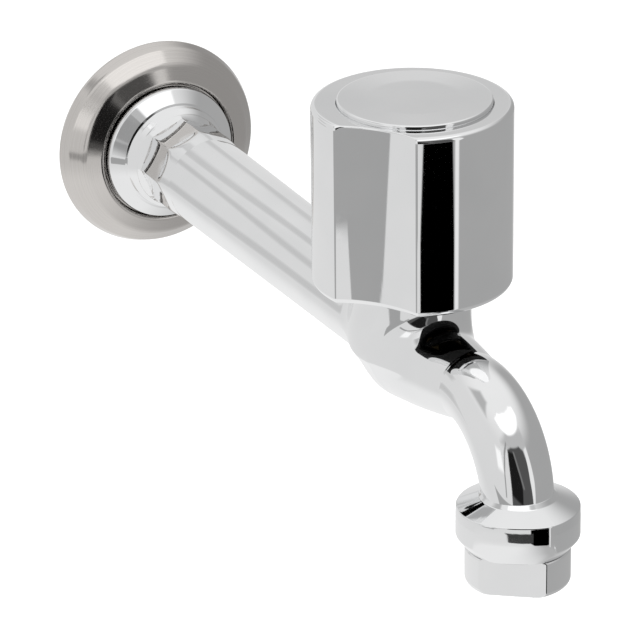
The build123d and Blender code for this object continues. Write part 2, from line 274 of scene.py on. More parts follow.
def softFinish(name, darker, lighter, roughness, scale):
    material, tree, shader, place = newMaterial(name)
    grain = noiseInto(tree, place, scale, softLook["grainDetail"])
    tinted(tree, grain, shader, darker, lighter)
    roughened(tree, grain, shader, *[min(1.0, roughness * share) for share in softLook["roughness"]])
    bumped(tree, grain, shader, *softLook["bump"])
    return material


chrome = chromeFinish("mirrorChrome", 0.035, 0.02)
handleChrome = chromeFinish("handleChrome", 0.03, 0.01)
stainless = stainlessFinish()
# Painted shade: a near-black matt finish for the handle's hollow and underside, standing in for the shade
# inside them.
paintedShadeInside = softFinish("paintedShadeInside", (0.002, 0.002, 0.002), (0.005, 0.005, 0.005), 0.9, 700.0)
# Painted shade: brass painted near black for the bonnet and gland nut, standing in for the shade inside the
# handle's hollow.
paintedShadeBrass = metalFinish("paintedShadeBrass", (0.008, 0.006, 0.003), (0.015, 0.011, 0.005), 0.5)
brass = metalFinish("turnedBrass", (0.62, 0.42, 0.15), (0.74, 0.53, 0.22), 0.28)
steel = metalFinish("plainSteel", (0.52, 0.52, 0.52), (0.62, 0.62, 0.62), 0.3)
rubber = softFinish("blackRubber", (0.012, 0.012, 0.012), (0.03, 0.03, 0.03), 0.7, 900.0)
# Partly painted shade: the gaskets' fibre is dark grey rather than red, darkened to stand in for the shade
# round the bonnet.
fibreAndShade = softFinish("darkFibreAndShade", (0.02, 0.02, 0.02), (0.045, 0.043, 0.04), 0.8, 1500.0)
packing = softFinish("whitePacking", (0.6, 0.59, 0.55), (0.75, 0.74, 0.7), 0.85, 1200.0)
plastic = softFinish("whitePlastic", (0.62, 0.62, 0.6), (0.72, 0.72, 0.7), 0.4, 500.0)
print("materials made")


# The arm: one closed skin from the shank through the flange, ridge, cove and wrench octagon to a
# clean ring where the valve's skin takes over, and back through the bore. Corners are (radius, y,
# fillet radius).

arm = {
    "around": 320, "longest": 1.2, "boreR": 5.8, "boreEdge": 0.4, "wallEnd": 16.0, "joinY": -104.0,
    "rootR": 10.73, "tipR": 9.81, "taperStart": -27.0, "taperEnd": -137.5, "taperPast": 5.0,
    "straightEnd": -32.0,
    "flange": [(11.25, -26.0), (11.45, -17.2, 1.5), (11.75, -15.4, 1.2), (12.75, -14.1, 0.5),
               (13.05, -13.1, 0.25), (13.6, -12.75, 0.3), (16.45, -10.2, 0.9), (16.7, -9.3, 0.5),
               (16.7, -7.3, 0.4), (10.0, -7.3)],
    "shank": [(10.0, -1.3), (9.25, -0.9), (9.25, 15.4), (8.7, 16.0)],
    "shapedFrom": -14.5, "insideR": 9.3, "flatR": 10.4, "flatSoft": 0.25, "flatRise": 3.0,
    "flatStart": -17.0, "runIn": 1.2, "flatEnd": -26.0, "flatFade": 4.5, "runOut": 0.6,
    "bandDepth": 0.10, "bandRise": (22.0, 30.0), "bandFall": (40.0, 96.0),
}


def armRadius(y):
    t = (y - arm["taperStart"]) / (arm["taperEnd"] - arm["taperStart"])
    return arm["rootR"] + (arm["tipR"] - arm["rootR"]) * t


def makeArm():
    taper = [(armRadius(y), y) for y in (arm["joinY"], arm["straightEnd"])]
    boreR, edge, end = arm["boreR"], arm["boreEdge"], arm["wallEnd"]
    bore = [(boreR + edge, end), (boreR, end - edge), (boreR, arm["joinY"])]
    profile = divided(roundedProfile(taper + arm["flange"] + arm["shank"] + bore), arm["longest"])
    rings = turnedRings(profile, arm["around"], "y")
    angle = anglesRound(arm["around"])
    eighth = math.pi / 4
    offset = (angle % eighth) - eighth / 2          # facet normals at 22.5 degrees and on
    y = profile[:, 1][:, None]
    radius = profile[:, 0][:, None]
    outside = (profile[:, 0] > arm["insideR"])[:, None] & (y < arm["shapedFrom"])
    away = fade(y, arm["flatStart"], arm["flatStart"] + arm["runIn"]) + \
        fade(-y, -arm["flatEnd"], -arm["flatEnd"] + arm["flatFade"]) * arm["runOut"]
    flat = (arm["flatR"] + arm["flatRise"] * away) / np.cos(offset)
    cut = softMin(radius + 0 * offset, flat, arm["flatSoft"])
    along = (1 - fade(-y, *arm["bandFall"])) * fade(-y, *arm["bandRise"])
    band = arm["bandDepth"] * np.cos(offset * 8) * along
    shaped = np.where(outside, cut - band, radius + 0 * offset)
    scale = shaped / radius
    rings[:, :, 0] *= scale
    rings[:, :, 2] *= scale
    return closedSkin(rings)


armPoints, armFaces = makeArm()
print("arm made", len(armFaces))


# The valve chamber and spout: one smooth casting, given by its distance function and meshed by
# averaging where that function crosses a grid, then moved onto the true surface.

valve = {
    "axisY": -137.5, "chamberR": 13.15, "top": 13.0, "rimR": 0.6,
    "bowlTop": -1.9, "bowlDepth": 6.5, "bowlPower": 1.17,
    "armBlend": 7.0, "spoutBlend": 4.6, "step": 0.42, "settleRounds": 6,
    "boxLow": (-16.0, -198.0), "boxHigh": (16.0, 14.0),
}
spout = {
    "axisY": -187.0, "bendR": 20.5, "topZ": -1.1, "slope": math.radians(4.5),
    "rootR": 10.85, "rootSwell": 0.45, "tubeR": 7.9, "bendSwell": 0.3, "boreR": 5.6, "endZ": -21.4,
}
water = {                                           # ports as (along, up) from the valve's axis
    "inlet": ((20.5, -0.5), (6.5, -7.0)), "outlet": ((-6.0, 4.3), (-21.5, -3.6)), "portR": 3.6,
    "armEnd": 19.0,
    "lower": (6.4, -10.5, -3.0), "seat": (6.95, -4.0, 2.0), "upper": (10.05, 1.0, 20.0),
    "straightFrom": 0.62, "below": -30.0,
}
bendCentre = np.array([spout["axisY"] + spout["bendR"], spout["topZ"] - spout["bendR"]])
bendStart = bendCentre + spout["bendR"] * np.array([math.sin(spout["slope"]), math.cos(spout["slope"])])
rootRise = (bendStart[0] - valve["axisY"]) * math.tan(spout["slope"])
rootPoint = np.array([valve["axisY"], bendStart[1] + rootRise])


# Distance to a bar between two (y, z) points in the symmetry plane, its radius changing along it.

def barDistance(x, y, z, a, b, ra, rb, swell=0.0):
    length = math.hypot(b[0] - a[0], b[1] - a[1])
    u = ((b[0] - a[0]) / length, (b[1] - a[1]) / length)
    along = np.clip(((y - a[0]) * u[0] + (z - a[1]) * u[1]) / length, 0, 1)
    r = ra + (rb - ra) * along + swell * np.sin(math.pi * along)
    dy = y - a[0] - u[0] * length * along
    dz = z - a[1] - u[1] * length * along
    return np.sqrt(x ** 2 + dy ** 2 + dz ** 2) - r


def bendDistance(x, y, z, r):
    turn = np.arctan2(z - bendCentre[1], -(y - bendCentre[0]))      # 0 at the outlet, 90 at the top
    turn = np.clip(turn, 0, math.pi / 2 + spout["slope"])
    cy = bendCentre[0] - spout["bendR"] * np.cos(turn)
    cz = bendCentre[1] + spout["bendR"] * np.sin(turn)
    return np.sqrt(x ** 2 + (y - cy) ** 2 + (z - cz) ** 2) - r - spout["bendSwell"] * np.sin(2 * turn)


# The round chamber: upright sides above, drawn in below, with a small rounded rim at the top.

def drumDistance(x, y, z):
    reach = np.hypot(x, y - valve["axisY"])
    low = np.maximum(valve["bowlTop"] - z, 0) / valve["bowlDepth"]
    power = valve["bowlPower"]
    size = ((reach / valve["chamberR"]) ** power + low ** power + 1e-9) ** (1 / power)
    side = (size - 1) * valve["chamberR"]
    qx = np.maximum(side + valve["rimR"], 0)
    qz = np.maximum(z - valve["top"] + valve["rimR"], 0)
    inner = np.minimum(np.maximum(side, z - valve["top"]) + valve["rimR"], 0)
    return np.hypot(qx, qz) + inner - valve["rimR"]


def postDistance(x, y, z, r, low, high, axisY):
    return np.maximum(np.hypot(x, y - axisY) - r, np.maximum(low - z, z - high))


def waterDistance(x, y, z):
    axisY = valve["axisY"]
    result = np.maximum(np.hypot(x, z) - arm["boreR"], axisY + water["armEnd"] - y)
    parts = [postDistance(x, y, z, *water[name], axisY) for name in ("lower", "seat", "upper")]
    for name in ("inlet", "outlet"):
        a, b = [(axisY + along, up) for along, up in water[name]]
        parts.append(barDistance(x, y, z, a, b, water["portR"], water["portR"]))
    rootStart = rootPoint + (bendStart - rootPoint) * water["straightFrom"]
    parts.append(barDistance(x, y, z, rootStart, bendStart, spout["boreR"], spout["boreR"]))
    parts.append(bendDistance(x, y, z, spout["boreR"]))
    parts.append(postDistance(x, y, z, spout["boreR"], water["below"], bendCentre[1], spout["axisY"]))
    for part in parts:
        result = np.minimum(result, part)
    return result


def skinDistance(x, y, z):
    along = np.clip(y, arm["taperEnd"] - arm["taperPast"], 0)
    armBar = np.maximum(np.hypot(x, z) - armRadius(along), valve["axisY"] - y)
    root = barDistance(x, y, z, rootPoint, bendStart, spout["rootR"], spout["tubeR"], spout["rootSwell"])
    bend = bendDistance(x, y, z, spout["tubeR"])
    drop = postDistance(x, y, z, spout["tubeR"], water["below"], bendCentre[1], spout["axisY"])
    tube = np.minimum(np.minimum(root, bend), drop)
    solid = softMin(drumDistance(x, y, z), armBar, valve["armBlend"])
    return softMin(solid, tube, valve["spoutBlend"])


def castingDistance(x, y, z):
    return np.maximum(skinDistance(x, y, z), -waterDistance(x, y, z))


def slopeOf(field, p, h=0.01):
    grads = []
    for axis in range(3):
        d = np.zeros(3)
        d[axis] = h
        q1 = p + d
        q0 = p - d
        grads.append((field(q1[:, 0], q1[:, 1], q1[:, 2]) - field(q0[:, 0], q0[:, 1], q0[:, 2])) / (2 * h))
    return np.stack(grads, 1)


# A net of quads over the zero level of a field inside a box.

def netOver(field, low, high, step):
    counts = [int(round((high[i] - low[i]) / step)) + 1 for i in range(3)]
    axes = [np.linspace(low[i], high[i], counts[i]) for i in range(3)]
    grid = np.meshgrid(*axes, indexing="ij")
    value = field(*grid)
    corners = [(i, j, k) for i in (0, 1) for j in (0, 1) for k in (0, 1)]
    shape = [n - 1 for n in value.shape]

    def corner(array, c):
        return array[c[0]:c[0] + shape[0], c[1]:c[1] + shape[1], c[2]:c[2] + shape[2]]

    inside = value < 0
    total = sum(corner(inside, c).astype(int) for c in corners)
    active = (total > 0) & (total < 8)
    index = -np.ones(active.shape, int)
    index[active] = np.arange(active.sum())
    place = np.zeros((active.sum(), 3))
    hits = np.zeros(active.sum())
    for a in corners:
        for axis in range(3):
            if a[axis]:
                continue
            b = tuple(1 if i == axis else a[i] for i in range(3))
            va = corner(value, a)[active]
            vb = corner(value, b)[active]
            crossing = (va < 0) != (vb < 0)
            t = np.where(crossing, va / np.where(crossing, va - vb, 1), 0)
            for i in range(3):
                pa = corner(grid[i], a)[active]
                pb = corner(grid[i], b)[active]
                place[:, i] += np.where(crossing, pa + (pb - pa) * t, 0)
            hits += crossing
    place /= hits[:, None]
    quads = []
    for axis in range(3):
        u, v = [(1, 2), (2, 0), (0, 1)][axis]
        start = [slice(None)] * 3
        start[axis] = slice(0, -1)
        stop = [slice(None)] * 3
        stop[axis] = slice(1, None)
        change = inside[tuple(start)] != inside[tuple(stop)]
        for other in (u, v):
            edge = [slice(None)] * 3
            for end in (0, -1):
                edge[other] = end
                change[tuple(edge)] = False
        spots = np.argwhere(change)
        around = []
        for du, dv in ((-1, -1), (0, -1), (0, 0), (-1, 0)):
            cell = spots.copy()
            cell[:, u] += du
            cell[:, v] += dv
            around.append(index[tuple(cell.T)])
        quad = np.stack(around, 1)
        flip = ~inside[tuple(start)][tuple(spots.T)]
        quad[flip] = quad[flip][:, ::-1]
        quads.append(quad)
    return place, np.concatenate(quads)


def makeValve():
    step = valve["step"]
    high = np.array([valve["boxHigh"][0], arm["joinY"], valve["boxHigh"][1]])
    cells = np.ceil((high - (*valve["boxLow"], spout["endZ"])) / step)
    low = high - cells * step                       # the net ends on the joint and on the outlet
    low[2] = spout["endZ"]
    high[2] = low[2] + cells[2] * step
    points, quads = netOver(castingDistance, low, high, step)
    onWall = points[:, 1] > arm["joinY"] - step
    onEnd = points[:, 2] < spout["endZ"] + step
    for turn in range(valve["settleRounds"]):
        slope = slopeOf(castingDistance, points)
        slope[onWall, 1] = 0
        slope[onEnd, 2] = 0
        gap = castingDistance(points[:, 0], points[:, 1], points[:, 2])
        size = np.maximum((slope ** 2).sum(1), 1e-6)
        points = points - slope * (gap / size)[:, None]
        points[onWall, 1] = arm["joinY"]
        points[onEnd, 2] = spout["endZ"]
    normals = slopeOf(castingDistance, points)
    normals /= np.linalg.norm(normals, axis=1)[:, None]
    return points, quads, normals


valvePoints, valveQuads, valveNormals = makeValve()
print("valve and spout made", len(valveQuads))
body = makeObject("castingArm", armPoints, armFaces, chrome)
valveBody = makeObject("castingValve", valvePoints, valveQuads, chrome, valveNormals)

shading = np.empty(len(armPoints) * 3, np.float32)
body.data.vertex_normals.foreach_get("vector", shading)
shading = shading.reshape(-1, arm["around"], 3)
shading[0] = shading[1]                             # the ring at the joint is shaded like its neighbour
shading[-1] = shading[-2]
body.data.normals_split_custom_set_from_vertices(shading.reshape(-1, 3).tolist())
for piece in (body, valveBody):
    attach(piece, "tap")
    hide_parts("tap_body")


# The collar at the spout's end: domed above, chamfered below, with two wrench flats, open
# inside for the aerator's screwed top.

collar = {
    "around": 384, "flatTurn": 57.0, "flat": 10.6, "soft": 0.25, "crown": 2.1, "halfChord": 8.7,
    "drawnIn": 2.2, "drawnBelow": (24.5, 36.0), "insideR": 9.2,
    "foot": 8.6, "rim": 13.655, "scaledAbove": -21.4,
    "outside": [(5.6, -21.2), (7.2, -19.2), (7.7, -17.3), (8.6, -18.3, 0.8), (13.62, -20.5, 0.35),
                (13.7, -22.8, 1.0), (13.7, -27.2, 0.5), (11.7, -29.8, 0.3), (11.4, -30.0)],
    "inside": [(9.05, -30.0), (9.05, -22.0), (5.6, -22.0)],
}
barrel = {
    "around": 384, "flatTurn": 54.0, "flat": 9.0, "soft": 0.12, "crown": 0.0, "halfChord": 8.0,
    "drawnIn": 0.0, "drawnBelow": (24.5, 36.0), "insideR": 9.2,
    "foot": 7.1, "rim": 11.7, "scaledAbove": 99.0,
    "outside": [(11.4, -30.15), (11.7, -30.45, 0.1), (11.7, -38.6, 1.2), (7.1, -38.6), (6.8, -38.3)],
    "inside": [(6.8, -36.6), (7.85, -36.6), (7.85, -24.0), (8.65, -24.0), (9.0, -24.35), (9.0, -30.15)],
}


# A turned piece on the outlet's axis, with two opposite flats on its outside. The collar's flats
# are crowned and drawn in towards the seam, and its dome runs down to their upper edge.

def makeFlatted(values):
    corners = roundedProfile(values["outside"] + values["inside"], closed=True)
    profile = divided(corners, 0.8, closed=True)
    angle = anglesRound(values["around"])
    turn = np.abs(((angle - math.radians(values["flatTurn"])) + math.pi / 2) % math.pi - math.pi / 2)
    radius = profile[:, 0][:, None] + 0 * angle
    height = profile[:, 1][:, None]
    turn = np.minimum(turn, 1.45)
    lower = fade(-height, *values["drawnBelow"])
    flat = values["flat"] - values["drawnIn"] * lower
    across = np.tan(turn) * flat / values["halfChord"]
    bulge = values["crown"] * (1 - lower) * np.clip(1 - across ** 2, 0, 1)
    limit = (flat + bulge) / np.cos(turn)
    cut = softMin(radius, limit, values["soft"])
    foot = values["foot"]
    shrink = (softMin(values["rim"] + 0 * limit, limit, values["soft"]) - foot) / (values["rim"] - foot)
    scaled = (height > values["scaledAbove"]) & (radius > foot)
    cut = np.where(radius > values["insideR"], cut, radius)
    radius = np.where(scaled, foot + (radius - foot) * shrink, cut)
    y = spout["axisY"] + radius * np.sin(angle)
    return closedSkin(np.stack([radius * np.cos(angle), y, height + 0 * angle], 2))


collarPiece = makeObject("spoutCollar", *makeFlatted(collar), chrome)
barrelPiece = makeObject("aeratorBarrel", *makeFlatted(barrel), chrome)
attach(collarPiece, "tap")
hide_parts("tap_body")
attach(barrelPiece, "tap")
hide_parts("aerator_housing")
print("collar and barrel made")


# The handle: a round outline with one finger flute, its corners rounded, with the cap's recess,
# the screw's well, the hub and the hollow below.

handle = {
    "axisY": -137.5, "radius": 22.5, "bottom": 14.2, "top": 56.5, "hollowR": 16.0,
    "fluteTurn": -141.7, "fluteR": 26.26, "fluteReach": 44.56,
    "cornerR": 1.2, "smallestR": 0.06, "topR": 1.2, "fluteTopR": 0.35, "bottomR": 1.4,
    "seatShift": (0.5, -0.25), "seatR": 17.5, "seatZ": 54.2, "seatEdge": 0.35,
    "well": [(9.2, 54.2, 0.2), (9.2, 47.5), (2.2, 47.5, 0.1), (2.2, 45.0)],
    "hub": [(7.05, 45.0), (7.05, 31.3), (7.35, 31.0), (10.7, 31.0, 0.3), (11.0, 51.5, 1.0)],
    "hollowTop": 51.5, "hollowEdge": 0.3, "hollowRound": 1.0, "seatRound": 0.15, "seatFoot": 0.1,
    "longest": 4.0, "underMargin": 0.05, "hollowMargin": 0.5,
    "roundSteps": 240, "cornerSteps": 12, "fluteSteps": 40, "sideSteps": 12, "edgeSteps": 12,
}


# Points and outward normals of the outline, moved in by an offset: the flute, a rounded corner,
# the long round side and the other corner.

def handleOutline(offset):
    corner = max(handle["cornerR"] - offset, handle["smallestR"])
    radius = handle["radius"] - offset
    cutter = handle["fluteR"] + offset
    reach = handle["fluteReach"]
    inner = radius - corner
    swing = math.acos((inner ** 2 + reach ** 2 - (cutter + corner) ** 2) / (2 * inner * reach))
    back = math.atan2(inner * math.sin(swing), reach - inner * math.cos(swing))
    turn = math.radians(handle["fluteTurn"])
    points = []
    ways = []

    def arc(centre, size, start, finish, steps, side, ends):
        for k in range(0 if ends else 1, steps + 1 if ends else steps):
            a = start + (finish - start) * k / steps
            way = np.array([math.cos(a), math.sin(a)])
            points.append(np.asarray(centre) + way * size)
            ways.append(way * side)

    def at(angle, distance):
        return np.array([math.cos(angle), math.sin(angle)]) * distance

    full = 2 * math.pi
    arc(at(turn, reach), cutter, turn + math.pi + back, turn + math.pi - back, handle["fluteSteps"], -1, True)
    arc(at(turn + swing, inner), corner, turn - back, turn + swing, handle["cornerSteps"], 1, False)
    arc((0, 0), radius, turn + swing, turn + full - swing, handle["roundSteps"], 1, True)
    arc(at(turn - swing, inner), corner, turn - swing, turn + back, handle["cornerSteps"], 1, False)
    return np.array(points), np.array(ways)


# Normals of a profile: the mean of the stretches on both sides, to the right of its direction.

def profileNormals(profile):
    step = np.diff(profile, axis=0)
    step /= np.linalg.norm(step, axis=1)[:, None]
    right = np.stack([step[:, 1], -step[:, 0]], 1)
    both = np.concatenate([right[:1], right[:-1] + right[1:], right[-1:]])
    return both / np.linalg.norm(both, axis=1)[:, None]


# The handle's rings from the lower edge up the outside, over the rounded top edge, down into the
# cap's recess, the well and the hollow. The flute was cut after the top edge was rounded, so its
# own edge is sharper. The recess and the cap sit a little off the centre.

def makeHandle():
    rings = []
    normals = []
    low = handle["bottom"]
    high = handle["top"]
    centre = np.array([0, handle["axisY"]])
    plain, _ = handleOutline(0)
    radius = handle["radius"]
    onRound = fade(np.hypot(plain[:, 0], plain[:, 1]), radius - handle["cornerR"], radius - 0.1)
    onRound = onRound[:, None]                      # 0 on the flute, 1 on the round side

    def outlineRing(roundR, fluteR, tilt, edge):
        rise = math.sin(tilt)
        outer, way = handleOutline(roundR * (1 - math.cos(tilt)))
        inner, _ = handleOutline(fluteR * (1 - math.cos(tilt)))
        flat = outer * onRound + inner * (1 - onRound) + centre
        size = (roundR * onRound + fluteR * (1 - onRound))[:, 0]
        z = edge - size * (1 - rise) if edge == high else edge + size * (1 + rise)
        rings.append(np.column_stack([flat, z + 0 * size]))
        normals.append(np.column_stack([way * math.cos(tilt), 0 * size + rise]))

    steps = handle["edgeSteps"]
    for k in range(steps + 1):
        outlineRing(handle["bottomR"], handle["bottomR"], -math.pi / 2 * (1 - k / steps), low)
    flat, way = handleOutline(0)
    straight = high - handle["topR"] - low - handle["bottomR"]
    for k in range(1, handle["sideSteps"]):
        z = low + handle["bottomR"] + straight * k / handle["sideSteps"]
        rings.append(np.column_stack([flat + centre, 0 * flat[:, 0] + z]))
        normals.append(np.column_stack([way, 0 * flat[:, 0]]))
    for k in range(steps + 1):
        outlineRing(handle["topR"], handle["fluteTopR"], math.pi / 2 * k / steps, high)
    around = np.arctan2(plain[:, 1], plain[:, 0])
    seatR = handle["seatR"]
    hollowR = handle["hollowR"]
    edge = handle["hollowEdge"]
    seat = [(seatR + handle["seatEdge"], high), (seatR, high, handle["seatRound"]),
            (seatR, handle["seatZ"], handle["seatFoot"])]
    hollow = [(hollowR, handle["hollowTop"], handle["hollowRound"]), (hollowR, low + edge),
              (hollowR + edge, low)]
    corners = roundedProfile(seat + handle["well"] + handle["hub"] + hollow)
    profile = divided(corners, handle["longest"])
    for (r, z), (nr, nz) in zip(profile, profileNormals(profile)):
        onSeat = r > seatR - 1 and z > handle["seatZ"] - 0.2
        shift = np.array(handle["seatShift"]) * (1.0 if onSeat else 0.0)
        spot = np.column_stack([r * np.cos(around), r * np.sin(around)]) + centre + shift
        rings.append(np.column_stack([spot, 0 * around + z]))
        normals.append(np.column_stack([nr * np.cos(around), nr * np.sin(around), 0 * around + nz]))
    return *closedSkin(np.array(rings)), np.array(normals).reshape(-1, 3)


handlePoints, handleFaces, handleNormals = makeHandle()
handlePiece = makeObject("flutedHandle", handlePoints, handleFaces, handleChrome, handleNormals)
handlePiece.data.materials.append(paintedShadeInside)       # painted shade: the hollow and the underside are near black
reach = np.hypot(handlePoints[:, 0], handlePoints[:, 1] - handle["axisY"])
height = handlePoints[:, 2]
margin = handle["underMargin"]
under = (reach < handle["radius"] - handle["bottomR"] + margin) & (height < handle["bottom"] + margin)
margin = handle["hollowMargin"]
within = (reach < handle["hollowR"] + margin) & (height < handle["hollowTop"] + margin)
# The faces of the underside and the hollow take the painted shade.
paintedShadeFaces = (under | within)[np.asarray(handleFaces)].all(1)
handlePiece.data.polygons.foreach_set("material_index", paintedShadeFaces.astype(np.int32))
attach(handlePiece, "handle")
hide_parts("handle_shell")
print("handle made")


# The cap: a slightly domed button with a rounded rim, a small step round its foot and a hollow
# spigot.

cap = {
    "radius": 17.35, "footR": 17.46, "seat": 54.25, "top": 57.8, "rimR": 0.45, "around": 256,
    "dome": 0.3, "domeR": 10.0, "domeShare": 0.3, "domeArc": 60.0, "longest": 1.6,
    "wallDrop": 0.1, "footDrop": 0.3, "footRise": 0.3, "footRound": 0.15, "footIn": 0.4,
    "spigot": [(8.95, 53.3), (8.15, 53.3), (8.15, 52.2), (8.95, 52.2), (8.95, 51.6), (7.3, 51.6),
               (7.3, 54.7)],
}


def makeCap():
    top, seat, radius, footR, spigot = (cap[name] for name in ("top", "seat", "radius", "footR", "spigot"))
    face = [(0.0, top), (cap["domeR"], top - cap["dome"] * cap["domeShare"], cap["domeArc"])]
    wall = [(radius, top - cap["dome"], cap["rimR"]), (radius, handle["top"] - cap["wallDrop"]),
            (footR, handle["top"] - cap["footDrop"]), (footR, seat + cap["footRise"], cap["footRound"]),
            (footR - cap["footIn"], seat), (spigot[0][0], seat)]
    corners = roundedProfile(face + wall + spigot + [(0.0, spigot[-1][1])])
    profile = divided(corners, cap["longest"])
    around = cap["around"]
    rings = turnedRings(profile[1:-1], around, "z", (0, handle["axisY"]))
    shifted = profile[1:-1, 0] > spigot[0][0] + 0.05    # the spigot itself stays on the centre
    rings[:, :, :2] += np.array(handle["seatShift"]) * shifted[:, None, None]
    flat = rings.reshape(-1, 3)
    points = np.concatenate([flat, [[0, handle["axisY"], top], [0, handle["axisY"], profile[-1][1]]]])
    quads = facingOut(points, ringFaces(len(rings), around, False))
    inverted = quads[0][1] == 1                     # the pole fans must run the same way as the quads
    faces = quads.tolist()
    last = (len(rings) - 1) * around
    for j in range(around):
        k = (j + 1) % around
        for first, second, pole in ((k, j, len(flat)), (last + j, last + k, len(flat) + 1)):
            faces.append([first, second, pole] if inverted else [second, first, pole])
    return points, faces


capPiece = makeObject("handleButton", *makeCap(), handleChrome)
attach(capPiece, "handle")
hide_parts("handle_cap")
print("cap made")


# The wall plate: thin spun sheet with a rolled rim at the wall, a dome, and a recess.

plate = {
    "around": 320, "longest": 0.7,
    "corners": [
        (24.75, -0.35, 0.3), (24.75, 0.0, 0.05), (25.35, 0.0, 0.5), (26.0, -1.2, 1.2), (25.0, -3.9, 2.5),
        (21.8, -7.1, 6.0), (17.9, -9.1, 1.0), (17.25, -8.8, 0.45), (17.25, -7.1, 0.3), (11.2, -7.1),
        (11.2, -6.3), (18.05, -6.3, 0.5), (18.05, -8.0, 0.4), (21.4, -6.35, 5.0), (24.2, -3.5, 2.0)],
}


def makePlate():
    profile = roundedProfile(plate["corners"], closed=True, guard=0.05)
    profile = divided(profile, plate["longest"], closed=True)
    return closedSkin(turnedRings(profile, plate["around"], "y"))


platePiece = makeObject("wallPlate", *makePlate(), stainless)
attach(platePiece, "tap")
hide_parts("wall_escutcheon")
print("wall plate made")


# The inlet thread: a ridge winding round the shank, right-handed, made by Geometry Nodes.

thread = {
    "Pitch": 1.814 * mm, "Base Radius": 9.2 * mm, "Ridge Height": 1.25 * mm, "Base Width": 1.6 * mm,
    "Crest Width": 0.3 * mm, "Start": 1.3 * mm, "Turns": 7.4, "Steps": 72,
}
sharpAngle = 0.6                                    # edges of the ridge that stay sharp


def threadTree():
    tree = bpy.data.node_groups.new("inletThread", "GeometryNodeTree")
    kinds = {"Geometry": "NodeSocketGeometry"}
    for name, value in thread.items():
        kinds[name] = "NodeSocketInt" if isinstance(value, int) else "NodeSocketFloat"
    kinds["Material"] = "NodeSocketMaterial"
    for name, kind in kinds.items():
        tree.interface.new_socket(name=name, in_out="INPUT", socket_type=kind)
    tree.interface.new_socket(name="Geometry", in_out="OUTPUT", socket_type="NodeSocketGeometry")
    size = addNode(tree, "NodeGroupInput").outputs

    def maths(operation, a, b):
        return addNode(tree, "ShaderNodeMath", {0: a, 1: b}, operation=operation).outputs[0]

    middle = maths("ADD", size["Base Radius"], maths("MULTIPLY", size["Ridge Height"], 0.5))
    rise = maths("MULTIPLY", size["Pitch"], size["Turns"])
    helix = addNode(tree, "GeometryNodeCurveSpiral", {
        "Resolution": size["Steps"], "Rotations": size["Turns"], "Start Radius": middle,
        "End Radius": middle, "Height": rise, "Reverse": True})     # reversed, so right-handed
    upright = addNode(tree, "GeometryNodeSetCurveNormal", {"Curve": helix.outputs["Curve"]}, mode="Z_UP")
    ridge = addNode(tree, "GeometryNodeCurvePrimitiveQuadrilateral", {
        "Height": size["Ridge Height"], "Bottom Width": size["Base Width"],
        "Top Width": size["Crest Width"], "Offset": 0.0}, mode="TRAPEZOID")
    outward = addNode(tree, "GeometryNodeTransform", {
        "Geometry": ridge.outputs["Curve"], "Rotation": (0, 0, -math.pi / 2)})
    swept = addNode(tree, "GeometryNodeCurveToMesh", {
        "Curve": upright.outputs["Curve"], "Profile Curve": outward.outputs["Geometry"], "Fill Caps": True})
    offset = addNode(tree, "ShaderNodeCombineXYZ", {"Y": size["Start"]})
    turned = addNode(tree, "GeometryNodeTransform", {
        "Geometry": swept.outputs["Mesh"], "Translation": offset.outputs["Vector"],
        "Rotation": (-math.pi / 2, 0, 0)})
    plain = addNode(tree, "GeometryNodeRealizeInstances", {"Geometry": turned.outputs["Geometry"]})
    coated = addNode(tree, "GeometryNodeSetMaterial", {
        "Geometry": plain.outputs["Geometry"], "Material": size["Material"]})
    addNode(tree, "NodeGroupOutput", {"Geometry": coated.outputs["Geometry"]})
    return tree


def makeThread():
    piece = bpy.data.objects.new("inletThread", bpy.data.meshes.new("inletThread"))
    bpy.context.scene.collection.objects.link(piece)
    tree = threadTree()
    modifier = piece.modifiers.new("inletThread", "NODES")
    modifier.node_group = tree
    values = dict(thread, Material=brass)
    for socket in tree.interface.items_tree:
        if socket.in_out == "INPUT" and socket.name in values:
            modifier[socket.identifier] = values[socket.name]
    piece.update_tag()
    evaluated = piece.evaluated_get(bpy.context.evaluated_depsgraph_get())
    made = bpy.data.meshes.new_from_object(evaluated)
    piece.modifiers.clear()
    piece.data = made
    made.polygons.foreach_set("use_smooth", [True] * len(made.polygons))
    made.set_sharp_from_angle(angle=sharpAngle)
    return piece


threadPiece = makeThread()
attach(threadPiece, "tap")
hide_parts("tap_body")
print("inlet thread made", len(threadPiece.data.polygons))


# The hidden pieces keep their CAD shape and get their own finish; the bonnet, gland nut and gaskets are made
# darker, as painted shade.

finishes = (
    (fibreAndShade, ("flange_gasket", "bonnet_gasket")),
    (paintedShadeBrass, ("bonnet", "gland_nut")),
    (brass, ("valve_seat", "gland_ring", "washer_jumper", "washer_nut", "spindle")),
    (packing, ("stem_packing",)),
    (rubber, ("seat_washer", "cap_retaining_ring", "aerator_gasket")),
    (plastic, ("handle_spline_insert", "aerator_cage", "flow_diffuser", "flow_straightener")),
    (steel, ("handle_screw", "handle_screw_washer", "mesh_screens")),
)
for finish, names in finishes:
    for name in names:
        for place in nodes[name].material_slots:
            place.material = finish
print("hidden pieces finished")


# Camera: a long lens, above and to the left of the arm.

camera = {
    "place": (-0.479515, -1.049716, 0.452357), "azimuth": -26.576, "elevation": 23.499,
    "roll": -0.493, "lens": 281.8, "sensor": 36.0, "clipStart": 0.05, "clipEnd": 20.0,
}


